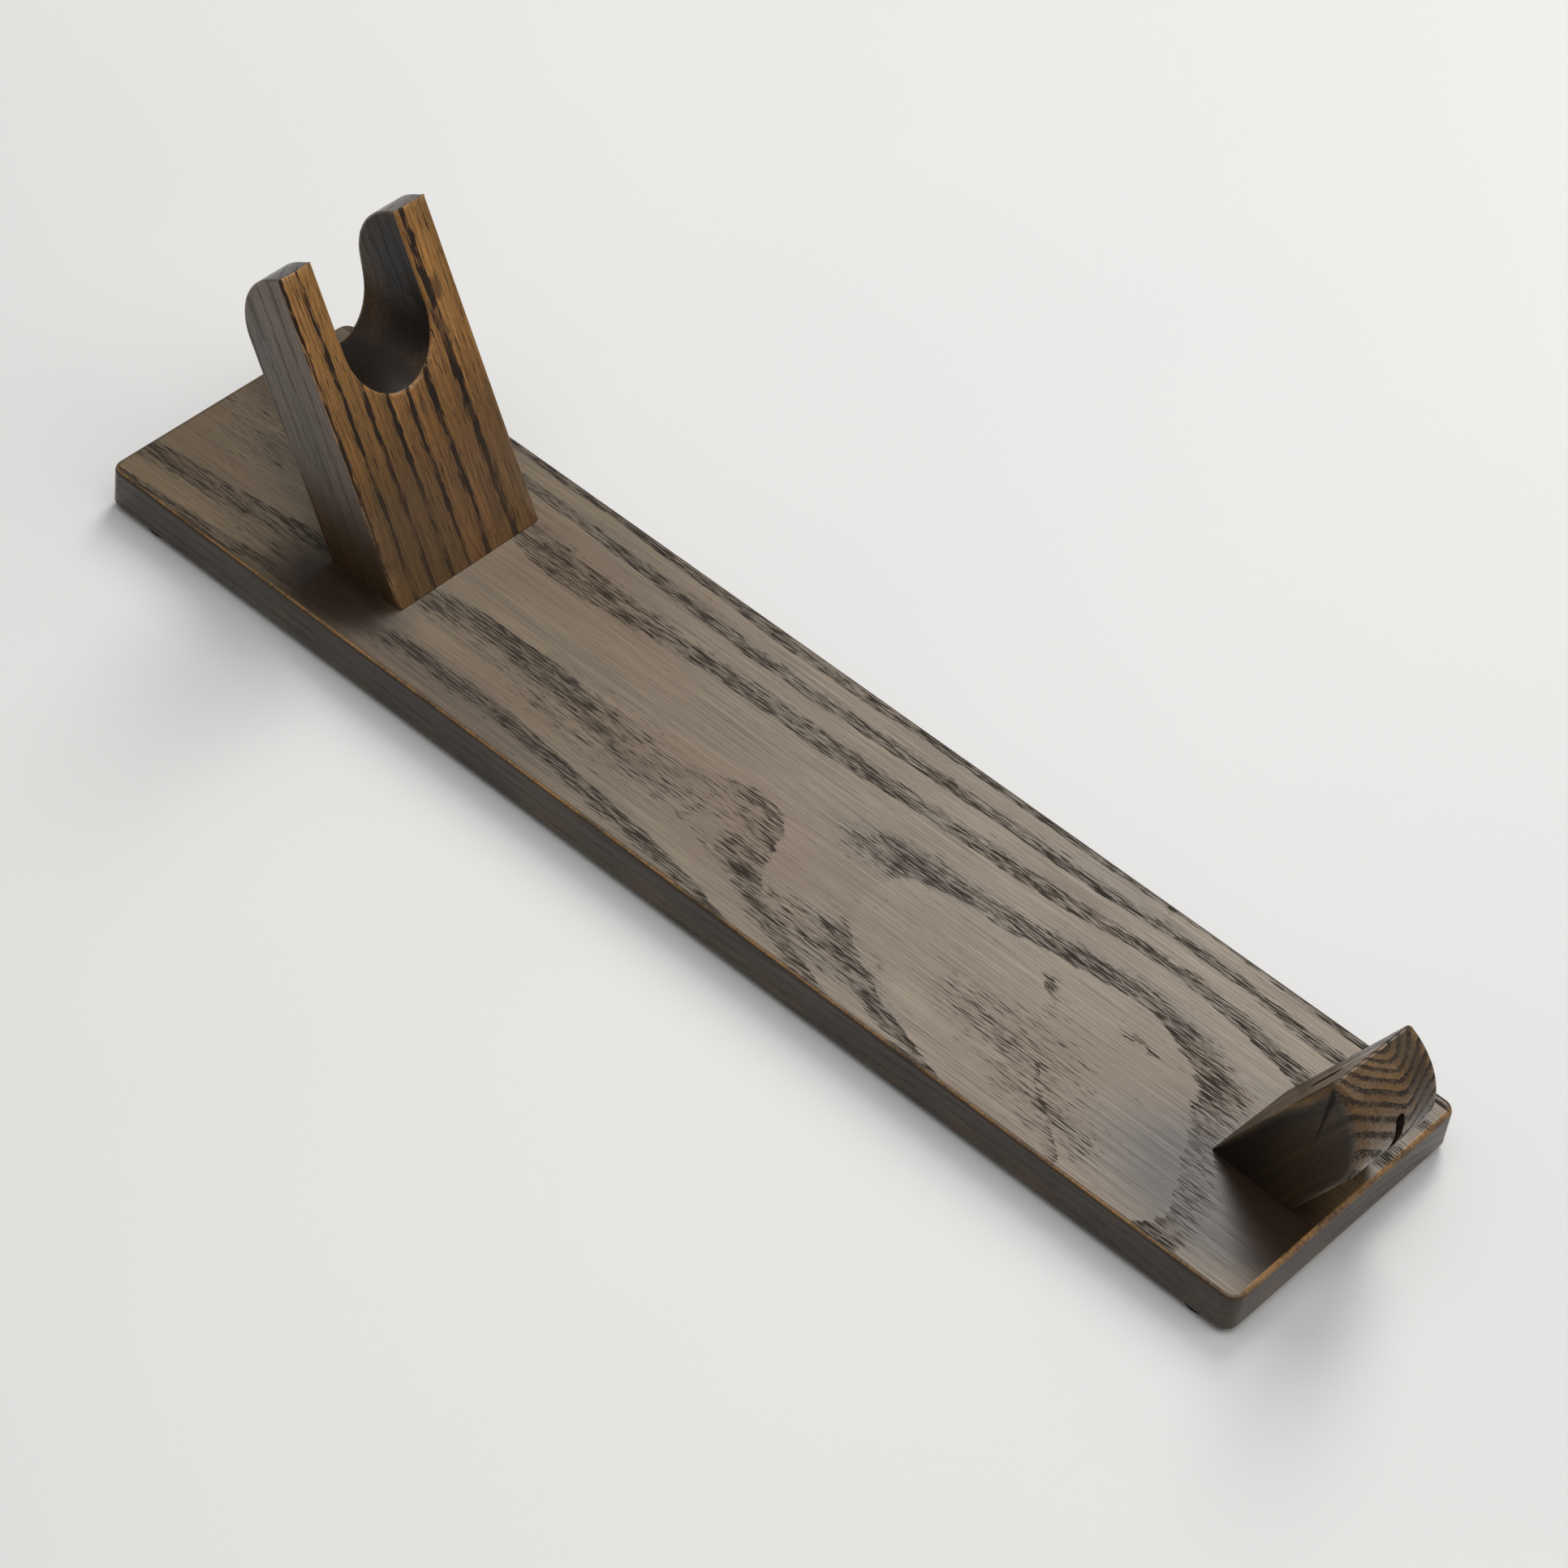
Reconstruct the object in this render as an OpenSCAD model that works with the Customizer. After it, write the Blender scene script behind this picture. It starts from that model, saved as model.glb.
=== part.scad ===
// Wooden display cradle: a long base board with a leaning notched upright at one end
// and a short leaning stop block at the other, on four rubber feet.
// +X runs along the board towards the stop block, +Z is up, and the origin is at
// the centre of the whole object's footprint, on the surface that it stands on.

/* [Base board] */
// Length of the board
board_l = 400; // [340:1:460]
// Width of the board
board_w = 92.3; // [80:0.1:120]
// Thickness of the board
board_t = 12.7; // [12:0.1:16]
// Radius of the board's four upright corners
corner_r = 4; // [1:0.5:10]
// Easing of the board's top edges
edge_top = 1.4; // [0.6:0.1:3]
// Easing of the board's bottom edges
edge_bottom = 0.8; // [0.4:0.1:2]

/* [Cradle upright] */
// Width of the upright
cradle_w = 54.2; // [48:0.1:70]
// Thickness of the upright, square to its front face
cradle_t = 22.6; // [21:0.1:26]
// Length of the upright's front face, along its slope
cradle_s = 98.5; // [90:0.5:110]
// Lean of the upright away from the vertical
cradle_lean = 31.4; // [15:0.1:35]
// Distance from the board's cradle end to the foot of the front face
cradle_x = 94.1; // [85:0.1:110]
// Radius that rounds the back of the upright's top
cradle_r = 18; // [10:0.5:20]
// Width of the U notch, which has a half-round bottom
notch_w = 31; // [20:0.1:36]
// Height of the notch's lowest point above the board
notch_z = 45.4; // [35:0.1:55]

/* [Stop block] */
// Width of the stop block
stop_w = 30; // [24:0.1:50]
// Thickness of the stop block, square to its inner face
stop_t = 22.9; // [21:0.1:26]
// Length of the stop's inner face, along its slope
stop_s = 58; // [50:0.5:70]
// Lean of the stop away from the vertical
stop_lean = 28.9; // [15:0.1:32]
// Distance from the board's stop end to the foot of the inner face
stop_x = 34.3; // [32:0.1:45]
// Sideways place of the stop's centre on the board
stop_y = 2.5; // [-5:0.1:5]
// Turn of the stop about the upright direction, as it was glued
stop_turn = -2.4; // [-4:0.1:4]
// Radius that rounds the outer side of the stop's top
stop_r = 20; // [10:0.5:20]
// Width of the slot that runs through the stop
slot_w = 3.3; // [2:0.1:6]
// Height of the slot, end to end
slot_h = 13.6; // [8:0.1:14]
// Height of the slot's lower end above the board
slot_z = 24.5; // [22:0.1:26]

/* [Feet] */
// Diameter of each rubber foot
foot_d = 12.7; // [8:0.1:16]
// Height of each rubber foot
foot_h = 2; // [1:0.1:6]
// Gap between a foot's rim and the board's long edge
foot_gap = 0.9; // [0.9:0.1:6]
// Distance from the board's cradle end to the feet there
foot_cradle_x = 17.3; // [12:0.1:40]
// Distance from the board's stop end to the feet there
foot_stop_x = 12; // [12:0.1:40]

/* [Screws] */
// Outside diameter of the screw thread
screw_d = 4.2; // [3.5:0.1:5]
// Diameter of the flat screw head
head_d = 8.2; // [7:0.1:9]
// Length of each screw, head included
screw_l = 30; // [26:1:32]
// Distance between the two screws in the cradle upright
cradle_pitch = 30; // [20:1:36]
// Distance between the two screws in the stop block
stop_pitch = 15; // [12:1:16]

/* [Hidden] */
$fn = 96;

walnut_brown = "#5f5349";
warm_brown = "#6b4a2f";
dark_brown = "#4a3b2d";
rubber_black = "#1a1a1a";
zinc = "#b9b7a8";

// Reach past a face, so that a cut always goes through it
past = 1;
// Length that is added under a leaning block before its foot is cut level
root_l = 30;

// A leaning block covers this much of the board, measured along it
function footprint(t, lean) = t / cos(lean);
cradle_foot = -board_l / 2 + cradle_x;
stop_foot = board_l / 2 - stop_x;
cradle_centre = cradle_foot - footprint(cradle_t, cradle_lean) / 2;
stop_centre = stop_foot + footprint(stop_t, stop_lean) / 2;

// Highest X of the stop's rounded nose, past the end of the board
nose_x = -footprint(stop_t, stop_lean) / 2
    + (stop_s - stop_r) * sin(stop_lean) + (stop_t - stop_r) * cos(stop_lean) + stop_r;
nose_reach = stop_centre + nose_x * cos(stop_turn) + stop_w / 2 * abs(sin(stop_turn));
overhang = max(0, nose_reach - board_l / 2);

// Notch and slot, above the top of the board
notch_r = notch_w / 2;
notch_cz = notch_z + notch_r;
slot_r = slot_w / 2;

// Screw: 90 degree head, plain neck through the board, ridged thread in the block
head_sink = 0.5;
head_h = (head_d - screw_d) / 2;
neck_d = screw_d - 0.6;
core_d = screw_d - 1.4;
thread_pitch = 1.8;
tip_h = 4;
neck_top = board_t - head_sink;
bite = screw_l - neck_top;
thread_turns = floor((screw_l - tip_h - neck_top) / thread_pitch);
recess_w = 1.2;
recess_l = 4.4;
recess_h = 1.5;
bore_play = 0.15;

// Half distance between the feet of one pair
foot_y = board_w / 2 - foot_gap - foot_d / 2;
foot_rim = 0.6;

// Everything is drawn from the board's centre and underside, then moved as one:
// down to the feet, and back by half of the stop's overhang
module placed() {
    translate([-overhang / 2, 0, foot_h]) children();
}

// Flat rounded rectangle with its centre at the origin
module round_rect(l, w, r) {
    square([l - 2 * r, w], center = true);
    square([l, w - 2 * r], center = true);
    for (i = [-1, 1], j = [-1, 1])
        translate([i * (l / 2 - r), j * (w / 2 - r)]) circle(r);
}

// Edge-on view of a board: top edges eased by one radius, bottom edges by another
module eased_section(w, t, r_top, r_bottom) {
    translate([-w / 2, r_bottom]) square([w, t - r_top - r_bottom]);
    translate([-w / 2 + r_top, r_bottom]) square([w - 2 * r_top, t - r_bottom]);
    translate([-w / 2 + r_bottom, 0]) square([w - 2 * r_bottom, t - r_top]);
    for (i = [-1, 1]) {
        translate([i * (w / 2 - r_top), t - r_top]) circle(r_top);
        translate([i * (w / 2 - r_bottom), r_bottom]) circle(r_bottom);
    }
}

// Side view of a leaning block, before it leans: depth along X, slope along Y.
// The face at X = 0 is flat to its top, and the far side of the top is rounded
module block_side(t, s, r) {
    translate([0, -root_l]) square([t, s - r + root_l]);
    square([t - r, s]);
    intersection() {
        square([t, s]);
        translate([t - r, s - r]) circle(r);
    }
}

// A leaning block with its flat face towards -X. Its foot line is at X = 0, Z = 0
module leaning_block(w, t, s, r, lean) {
    intersection() {
        rotate([0, lean, 0]) translate([0, w / 2, 0]) rotate([90, 0, 0])
            linear_extrude(w) block_side(t, s, r);
        translate([-2 * s, -w, 0]) cube([4 * s, 2 * w, 2 * s]);
    }
}

// Countersunk clearance hole up through the board, from its underside
module screw_hole() {
    translate([0, 0, -past]) cylinder(d = head_d + 2 * bore_play, h = past + head_sink);
    translate([0, 0, head_sink])
        cylinder(d1 = head_d + 2 * bore_play, d2 = screw_d + 2 * bore_play, h = head_h);
    translate([0, 0, -past]) cylinder(d = screw_d + 2 * bore_play, h = board_t + 2 * past);
}

// A screw stands upright in a block that leans over it, so it is set off from the
// centre of the footprint by half of what the block leans over the screw's bite
function screw_offset(lean) = bite * tan(lean) / 2;

// Place of one cradle screw: side is -1 or 1
module at_cradle_screw(side) {
    translate([cradle_centre - screw_offset(cradle_lean), side * cradle_pitch / 2, 0])
        children();
}

module at_stop() {
    translate([stop_centre, stop_y, 0]) rotate([0, 0, stop_turn]) children();
}

// Place of one stop screw, in the stop's own turned frame
module at_stop_screw(side) {
    translate([screw_offset(stop_lean), side * stop_pitch / 2, 0]) children();
}

module base_board() {
    color(walnut_brown) placed() difference() {
        intersection() {
            linear_extrude(board_t) round_rect(board_l, board_w, corner_r);
            rotate([90, 0, 90]) translate([0, 0, -board_l / 2]) linear_extrude(board_l)
                eased_section(board_w, board_t, edge_top, edge_bottom);
            rotate([90, 0, 0]) translate([0, 0, -board_w / 2]) linear_extrude(board_w)
                eased_section(board_l, board_t, edge_top, edge_bottom);
        }
        for (side = [-1, 1]) {
            at_cradle_screw(side) screw_hole();
            at_stop() at_stop_screw(side) screw_hole();
        }
    }
}

// Pilot hole that the thread cuts its way into
module pilot_hole() {
    translate([0, 0, -past]) cylinder(d = screw_d, h = past + bite);
}

module cradle_upright() {
    color(warm_brown) placed() translate([0, 0, board_t]) difference() {
        translate([cradle_foot, 0, 0]) mirror([1, 0, 0])
            leaning_block(cradle_w, cradle_t, cradle_s, cradle_r, cradle_lean);
        translate([-board_l / 2, 0, notch_cz]) rotate([0, 90, 0])
            cylinder(r = notch_r, h = board_l / 2);
        translate([-board_l / 2, -notch_r, notch_cz])
            cube([board_l / 2, notch_w, cradle_s]);
        for (side = [-1, 1]) at_cradle_screw(side) pilot_hole();
    }
}

// Upright slot through the stop, with round ends
module stop_slot() {
    for (z = [slot_z + slot_r, slot_z + slot_h - slot_r])
        translate([-stop_s, 0, z]) rotate([0, 90, 0]) cylinder(r = slot_r, h = 3 * stop_s);
    translate([-stop_s, -slot_r, slot_z + slot_r])
        cube([3 * stop_s, slot_w, slot_h - slot_w]);
}

module stop_block() {
    color(dark_brown) placed() translate([0, 0, board_t]) at_stop() difference() {
        translate([-footprint(stop_t, stop_lean) / 2, 0, 0])
            leaning_block(stop_w, stop_t, stop_s, stop_r, stop_lean);
        stop_slot();
        for (side = [-1, 1]) at_stop_screw(side) pilot_hole();
    }
}

// Round rubber foot with an eased lower rim, stuck under the board
module foot(x, side) {
    r = foot_d / 2;
    color(rubber_black) translate([-overhang / 2 + x, side * foot_y, 0]) rotate_extrude() {
        square([r - foot_rim, foot_h]);
        translate([0, foot_rim]) square([r, foot_h - foot_rim]);
        translate([r - foot_rim, foot_rim]) circle(foot_rim, $fn = 48);
    }
}

// Half outline of a wood screw that stands on its head: head, neck, ridges and tip
function screw_outline() = concat(
    [[0, 0], [head_d / 2, 0], [neck_d / 2, (head_d - neck_d) / 2], [neck_d / 2, neck_top]],
    [for (k = [0:thread_turns - 1], j = [0, 1])
        [j == 0 ? core_d / 2 : screw_d / 2, neck_top + (k + (j + 0.5) / 2) * thread_pitch]],
    [[core_d / 2, screw_l - tip_h], [0, screw_l]]);

// Wood screw with a cross recess in its head
module wood_screw() {
    color(zinc) translate([0, 0, head_sink]) difference() {
        rotate_extrude() polygon(screw_outline());
        for (a = [0, 90]) rotate([0, 0, a])
            translate([-recess_l / 2, -recess_w / 2, -past])
                cube([recess_l, recess_w, past + recess_h]);
    }
}

module cradle_screw(side) {
    placed() at_cradle_screw(side) wood_screw();
}

module stop_screw(side) {
    placed() at_stop() at_stop_screw(side) wood_screw();
}

cradle_feet_x = -board_l / 2 + foot_cradle_x;
stop_feet_x = board_l / 2 - foot_stop_x;

base_board();
cradle_upright();
stop_block();
foot(cradle_feet_x, -1);  // foot_cradle_left
foot(cradle_feet_x, 1);  // foot_cradle_right
foot(stop_feet_x, -1);  // foot_stop_left
foot(stop_feet_x, 1);  // foot_stop_right
cradle_screw(-1);  // screw_cradle_left
cradle_screw(1);  // screw_cradle_right
stop_screw(-1);  // screw_stop_left
stop_screw(1);  // screw_stop_right
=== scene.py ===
"""Wooden display cradle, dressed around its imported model: a long base board, a leaning
notched upright, a leaning stop block with a slot, four rubber feet and four wood screws."""

import math

import bmesh
import bpy
import numpy as np
from mathutils import Matrix, Vector


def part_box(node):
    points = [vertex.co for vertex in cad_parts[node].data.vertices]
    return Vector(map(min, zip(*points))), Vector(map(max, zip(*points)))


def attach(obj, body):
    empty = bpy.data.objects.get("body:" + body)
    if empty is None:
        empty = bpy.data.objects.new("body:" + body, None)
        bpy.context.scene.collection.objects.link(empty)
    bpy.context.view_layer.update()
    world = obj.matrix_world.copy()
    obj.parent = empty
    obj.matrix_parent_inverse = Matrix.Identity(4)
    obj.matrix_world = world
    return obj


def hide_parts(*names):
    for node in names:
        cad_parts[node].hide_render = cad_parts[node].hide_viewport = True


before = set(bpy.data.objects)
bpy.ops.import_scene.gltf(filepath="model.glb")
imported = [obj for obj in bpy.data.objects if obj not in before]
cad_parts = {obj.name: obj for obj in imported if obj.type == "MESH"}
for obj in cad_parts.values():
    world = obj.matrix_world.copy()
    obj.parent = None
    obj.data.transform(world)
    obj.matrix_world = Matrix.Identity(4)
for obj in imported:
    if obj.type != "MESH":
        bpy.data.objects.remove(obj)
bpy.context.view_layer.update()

MM = 0.001

# Leaning blocks, as they are sawn: lean from the upright, thickness, round of the top
CRADLE_LEAN = math.radians(31.4)
CRADLE_DEEP = 22.6 * MM
CRADLE_ROUND = 18 * MM
NOTCH_HALF = 15.5 * MM
NOTCH_BOTTOM = 45.4 * MM
STOP_LEAN = math.radians(28.9)
STOP_DEEP = 22.9 * MM
STOP_ROUND = 20 * MM
STOP_WIDE = 30 * MM
STOP_TURN = math.radians(-2.4)
SLOT_HALF = 1.65 * MM
SLOT_TALL = 13.6 * MM
SLOT_LOW = 24.5 * MM

# How far the sanding takes the edges off
BOARD_CORNER = 4 * MM
BOARD_TOP_EASE = 1.4 * MM
BOARD_UNDER_EASE = 0.8 * MM
CRADLE_EASE = 0.7 * MM
CRADLE_TOP_EASE = 0.5 * MM
STOP_EASE = 1.6 * MM
STOP_TOP_EASE = 1.2 * MM
STOP_NEAR_EXTRA = 2.2 * MM
JOINT_EASE = 0.3 * MM

# Wood screws
SCREW_CORE = 1.4 * MM
SCREW_CREST = 2.1 * MM
SCREW_NECK = 1.8 * MM
SCREW_PITCH = 1.8 * MM
SCREW_TIP = 4 * MM
SCREW_NECK_END = 12.2 * MM
SCREW_PLAY = 0.15 * MM
PILOT_RADIUS = 2.1 * MM

# The table top: how far it reaches to each side, and its points along a side
FLOOR_REACH = 6
FLOOR_POINTS = 13

# Feet, and how far a cutter reaches past what it cuts
FOOT_RIM = 0.6 * MM
PAST = 3 * MM


# ---------------------------------------------------------------- mesh making


def smoothstep(low, high, x):
    """3t^2 - 2t^3, where t goes from 0 at low to 1 at high."""
    t = np.clip((x - low) / (high - low), 0, 1)
    return t * t * (3 - 2 * t)


def grid_quads(rows, cols, closed_cols=False):
    """Corner numbers of the quads of a rows by cols grid, whose last column may join the first."""
    r = np.arange(rows - 1)
    c = np.arange(cols if closed_cols else cols - 1)
    r, c = np.meshgrid(r, c, indexing="ij")
    r, c = r.ravel(), c.ravel()
    r2, c2 = r + 1, (c + 1) % cols
    return np.stack([r * cols + c, r2 * cols + c, r2 * cols + c2, r * cols + c2], axis=1)


def make_mesh(name, points, faces, rim=None, sharp=35, soak_and_shade=None):
    """A closed, outward-facing mesh from an array of points and lists of face corners. Two values
    for each point are kept as attributes: rim, 1 on an eased edge and 0 elsewhere, and soak, how
    dark the stain shows: stain the face drank, and painted shade on faces that get less light."""
    mesh = bpy.data.meshes.new(name)
    mesh.from_pydata(points.reshape(-1, 3).tolist(), [], [list(map(int, f)) for f in faces])
    for label, values in (("rim", rim), ("soak_and_shade", soak_and_shade)):
        if values is not None:
            made = mesh.attributes.new(label, "FLOAT", "POINT")
            made.data.foreach_set("value", np.asarray(values, np.float32).ravel())
    shape = bmesh.new()
    shape.from_mesh(mesh)
    bmesh.ops.remove_doubles(shape, verts=shape.verts, dist=1e-6)
    bmesh.ops.dissolve_degenerate(shape, edges=shape.edges, dist=1e-7)
    bmesh.ops.recalc_face_normals(shape, faces=shape.faces)
    shape.to_mesh(mesh)
    shape.free()
    mesh.shade_smooth()
    mesh.set_sharp_from_angle(angle=math.radians(sharp))
    piece = bpy.data.objects.new(name, mesh)
    bpy.context.scene.collection.objects.link(piece)
    return piece


def revolved(name, radius, height, centre, turns=64, rim=None):
    """A solid of revolution: point (i, j) stands at height[i], at radius[i] from an upright
    axis through centre, at the angle 2 pi j / turns. radius may also be a whole grid."""
    angle = np.linspace(0, 2 * np.pi, turns, endpoint=False)
    radius = np.asarray(radius, float)
    if radius.ndim == 1:
        radius = np.repeat(radius[:, None], turns, axis=1)
    rise = np.repeat(np.asarray(height, float)[:, None], turns, axis=1)
    points = np.stack([radius * np.cos(angle), radius * np.sin(angle), rise], axis=-1)
    points = points + np.array(centre)
    if rim is not None:
        rim = np.repeat(np.asarray(rim, float)[:, None], turns, axis=1)
    return make_mesh(name, points, grid_quads(len(height), turns, closed_cols=True), rim)


def point_keys(mesh):
    """One whole number for each point of a mesh, from its place in thousandths of a millimetre."""
    places = np.empty(len(mesh.vertices) * 3, np.float32)
    mesh.vertices.foreach_get("co", places)
    steps = np.round(places.reshape(-1, 3).astype(float) / (0.001 * MM)).astype(np.int64) + 2 ** 19
    return (steps[:, 0] << 40) + (steps[:, 1] << 20) + steps[:, 2]


def cut(piece, cutters, sharp=35, soak_and_shade=0.8):
    """Takes the cutters out of the piece, keeps the result as its mesh and removes the cutters.
    Points that the cut made get one even value of soak."""
    before = point_keys(piece.data)
    for cutter in cutters:
        tool = piece.modifiers.new("cut", "BOOLEAN")
        tool.operation = "DIFFERENCE"
        tool.solver = "EXACT"
        tool.object = cutter
    bpy.context.view_layer.update()
    graph = bpy.context.evaluated_depsgraph_get()
    result = bpy.data.meshes.new_from_object(piece.evaluated_get(graph), depsgraph=graph)
    piece.modifiers.clear()
    piece.data = result
    result.name = piece.name
    for cutter in cutters:
        bpy.data.objects.remove(cutter)
    shape = bmesh.new()
    shape.from_mesh(result)
    bmesh.ops.remove_doubles(shape, verts=shape.verts, dist=1e-6)
    shape.to_mesh(result)
    shape.free()
    if "soak_and_shade" in result.attributes:
        soak_shade = np.empty(len(result.vertices), np.float32)
        result.attributes["soak_and_shade"].data.foreach_get("value", soak_shade)
        soak_shade[~np.isin(point_keys(result), before)] = soak_and_shade
        result.attributes["soak_and_shade"].data.foreach_set("value", soak_shade)
    result.shade_smooth()
    result.set_sharp_from_angle(angle=math.radians(sharp))
    return piece


# ---------------------------------------------------------------- base board


def screw_boxes():
    """Lowest and highest corner of each screw's box, from the model's own screws."""
    places = {}
    for block in ("cradle", "stop"):
        for side in ("left", "right"):
            low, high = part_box(f"screw_{block}_{side}")
            places[f"screw_{block}_{side}"] = (low, high)
    return places


def board_ring(half_long, half_wide, corner, around):
    """Rounded rectangle in the plane: straight sides joined by quarter rounds of radius corner.
    around quarter points a corner; the sides are shared out between the corners."""
    turn = np.linspace(0, np.pi / 2, around)
    ring = []
    for k, (sx, sy) in enumerate(((1, 1), (-1, 1), (-1, -1), (1, -1))):
        a = turn + k * np.pi / 2
        centre = np.array([sx * (half_long - corner), sy * (half_wide - corner)])
        ring.append(centre + corner * np.stack([np.cos(a), np.sin(a)], axis=1))
    return np.concatenate(ring)


def make_board():
    """Rings of a rounded rectangle. Each ring is the outline drawn in by an inset, at a height:
    the spine of the underside, out to its edge, round the lower easing, up the side, round the
    upper easing and back in to the spine of the top."""
    low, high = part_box("base_board")
    centre = (low + high) / 2
    half_long, half_wide = (high.x - low.x) / 2, (high.y - low.y) / 2
    under = np.linspace(0, np.pi / 2, 7)
    over = np.linspace(0, np.pi / 2, 13)
    inset = np.concatenate([
        [half_wide, BOARD_UNDER_EASE * 1.15], BOARD_UNDER_EASE * (1 - np.sin(under)),
        BOARD_TOP_EASE * (1 - np.cos(over)), [BOARD_TOP_EASE * 1.1, half_wide],
    ])
    rise = np.concatenate([
        [low.z, low.z], low.z + BOARD_UNDER_EASE * (1 - np.cos(under)),
        high.z - BOARD_TOP_EASE * (1 - np.sin(over)), [high.z, high.z],
    ])
    thin = np.concatenate([[0, 0], np.full(7, 0.12), np.exp(-((over - 1.0) / 0.22) ** 2), [0, 0]])
    broad = np.concatenate([[0, 0], np.full(7, 0.2), np.sin(over) ** 0.7, [0, 0]])
    # Underside, sides and ends darker than the top: stain soaked into the end grain, and painted shade
    # on the long sides.
    soak_shade = np.concatenate([[0.8, 0.8], np.full(7, 0.9), 0.9 * np.cos(over) ** 0.5, [0, 0]])
    outline = board_ring(half_long, half_wide, BOARD_CORNER, 10)
    long_steps = np.linspace(1, -1, 41)[1:-1] * (half_long - BOARD_CORNER)
    wide_steps = np.linspace(1, -1, 15)[1:-1] * (half_wide - BOARD_CORNER)
    q = len(outline) // 4
    outline = np.concatenate([
        outline[:q], np.stack([long_steps, np.full(39, half_wide)], axis=1),
        outline[q:2 * q], np.stack([np.full(13, -half_long), wide_steps], axis=1),
        outline[2 * q:3 * q], np.stack([-long_steps, np.full(39, -half_wide)], axis=1),
        outline[3 * q:], np.stack([np.full(13, half_long), -wide_steps], axis=1),
    ])
    spine = np.stack([
        np.clip(outline[:, 0], half_wide - half_long, half_long - half_wide),
        np.zeros(len(outline)),
    ], axis=1)
    outward = np.zeros_like(outline)
    for axis, half in enumerate((half_long, half_wide)):
        straight = half - BOARD_CORNER
        reach = outline[:, axis]
        past = np.abs(reach) > straight - 1e-9
        outward[:, axis] = np.where(past, reach - np.sign(reach) * straight, 0)
    outward = outward / np.linalg.norm(outward, axis=1)[:, None]
    near = inset < half_wide / 2
    flat = np.where(near[:, None, None], outline - outward * inset[:, None, None], spine)
    points = np.concatenate([
        flat + np.array([centre.x, centre.y]),
        np.broadcast_to(rise[:, None, None], (len(rise), len(outline), 1)),
    ], axis=2)
    # Rim: wear on the eased edges, made stronger along the near long side and the near end as a painted
    # highlight.
    near_end_highlight = smoothstep(0.5, 0.95, outward[:, 0])
    near_side_highlight = smoothstep(0.5, 0.95, -outward[:, 1])
    rim = thin[:, None] * (0.3 + 0.7 * near_side_highlight) + (broad[:, None] - thin[:, None] * 0.3) * near_end_highlight
    soak_and_shade = np.repeat(soak_shade[:, None], len(outline), axis=1)
    quads = grid_quads(len(rise), len(outline), closed_cols=True)
    board = make_mesh("base_board_wood", points, quads, np.clip(rim, 0, 1), soak_and_shade=soak_and_shade)
    holes = []
    for name, (screw_low, screw_high) in SCREWS.items():
        head = (screw_high.x - screw_low.x) / 2 + SCREW_PLAY
        shank = SCREW_CREST + SCREW_PLAY
        depth = [low.z - PAST, screw_low.z, screw_low.z + head - shank, high.z + PAST]
        holes.append(revolved(
            "hole_" + name, [0, head, head, shank, shank, 0],
            [depth[0], depth[0], depth[1], depth[2], depth[3], depth[3]],
            [(screw_low.x + screw_high.x) / 2, (screw_low.y + screw_high.y) / 2, 0], 48))
    return cut(board, holes)


# ---------------------------------------------------------------- leaning blocks


def block_outline(deep, tall, top_round, lean, top_ease):
    """Side view of a leaning block from its front foot, up the flat face, over the top and down
    the back: in its own frame a rectangle with one rounded corner, then turned by the lean.
    Gives (across, up) points and the number of the highest one."""
    ease = np.linspace(0, np.pi / 2, 9)
    arc = np.linspace(0, np.pi / 2, 49)
    slope = np.linspace(0, 1, 30)[:, None]
    front = np.array([[0, 0]]) + slope * np.array([[0, tall - top_ease]])
    corner = np.stack([top_ease * (1 - np.cos(ease)), tall - top_ease * (1 - np.sin(ease))], axis=1)
    flat_end = deep - top_round
    across_top = np.stack([np.linspace(top_ease, flat_end, 8)[1:-1], np.full(6, tall)], axis=1)
    rounding = np.stack([
        flat_end + top_round * np.sin(arc), tall - top_round * (1 - np.cos(arc))], axis=1)
    back_foot = deep * math.tan(lean)
    back_rise = np.array([[0, back_foot - tall + top_round]])
    back = np.array([[deep, tall - top_round]]) + slope * back_rise
    own = np.concatenate([front, corner[1:], across_top, rounding, back[1:]])
    across = -own[:, 1] * math.sin(lean) - own[:, 0] * math.cos(lean)
    up = own[:, 1] * math.cos(lean) - own[:, 0] * math.sin(lean)
    return np.stack([across, np.maximum(up, 0)], axis=1), int(np.argmax(up))


def edge_drop(distance, ease):
    """How far a face is drawn back at a distance from its boundary, for a quarter round of radius
    ease: ease minus the root of (ease squared minus (ease - distance) squared)."""
    inner = np.clip(ease - distance, 0, ease)
    return ease - np.sqrt(np.maximum(ease ** 2 - inner ** 2, 0))


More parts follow.
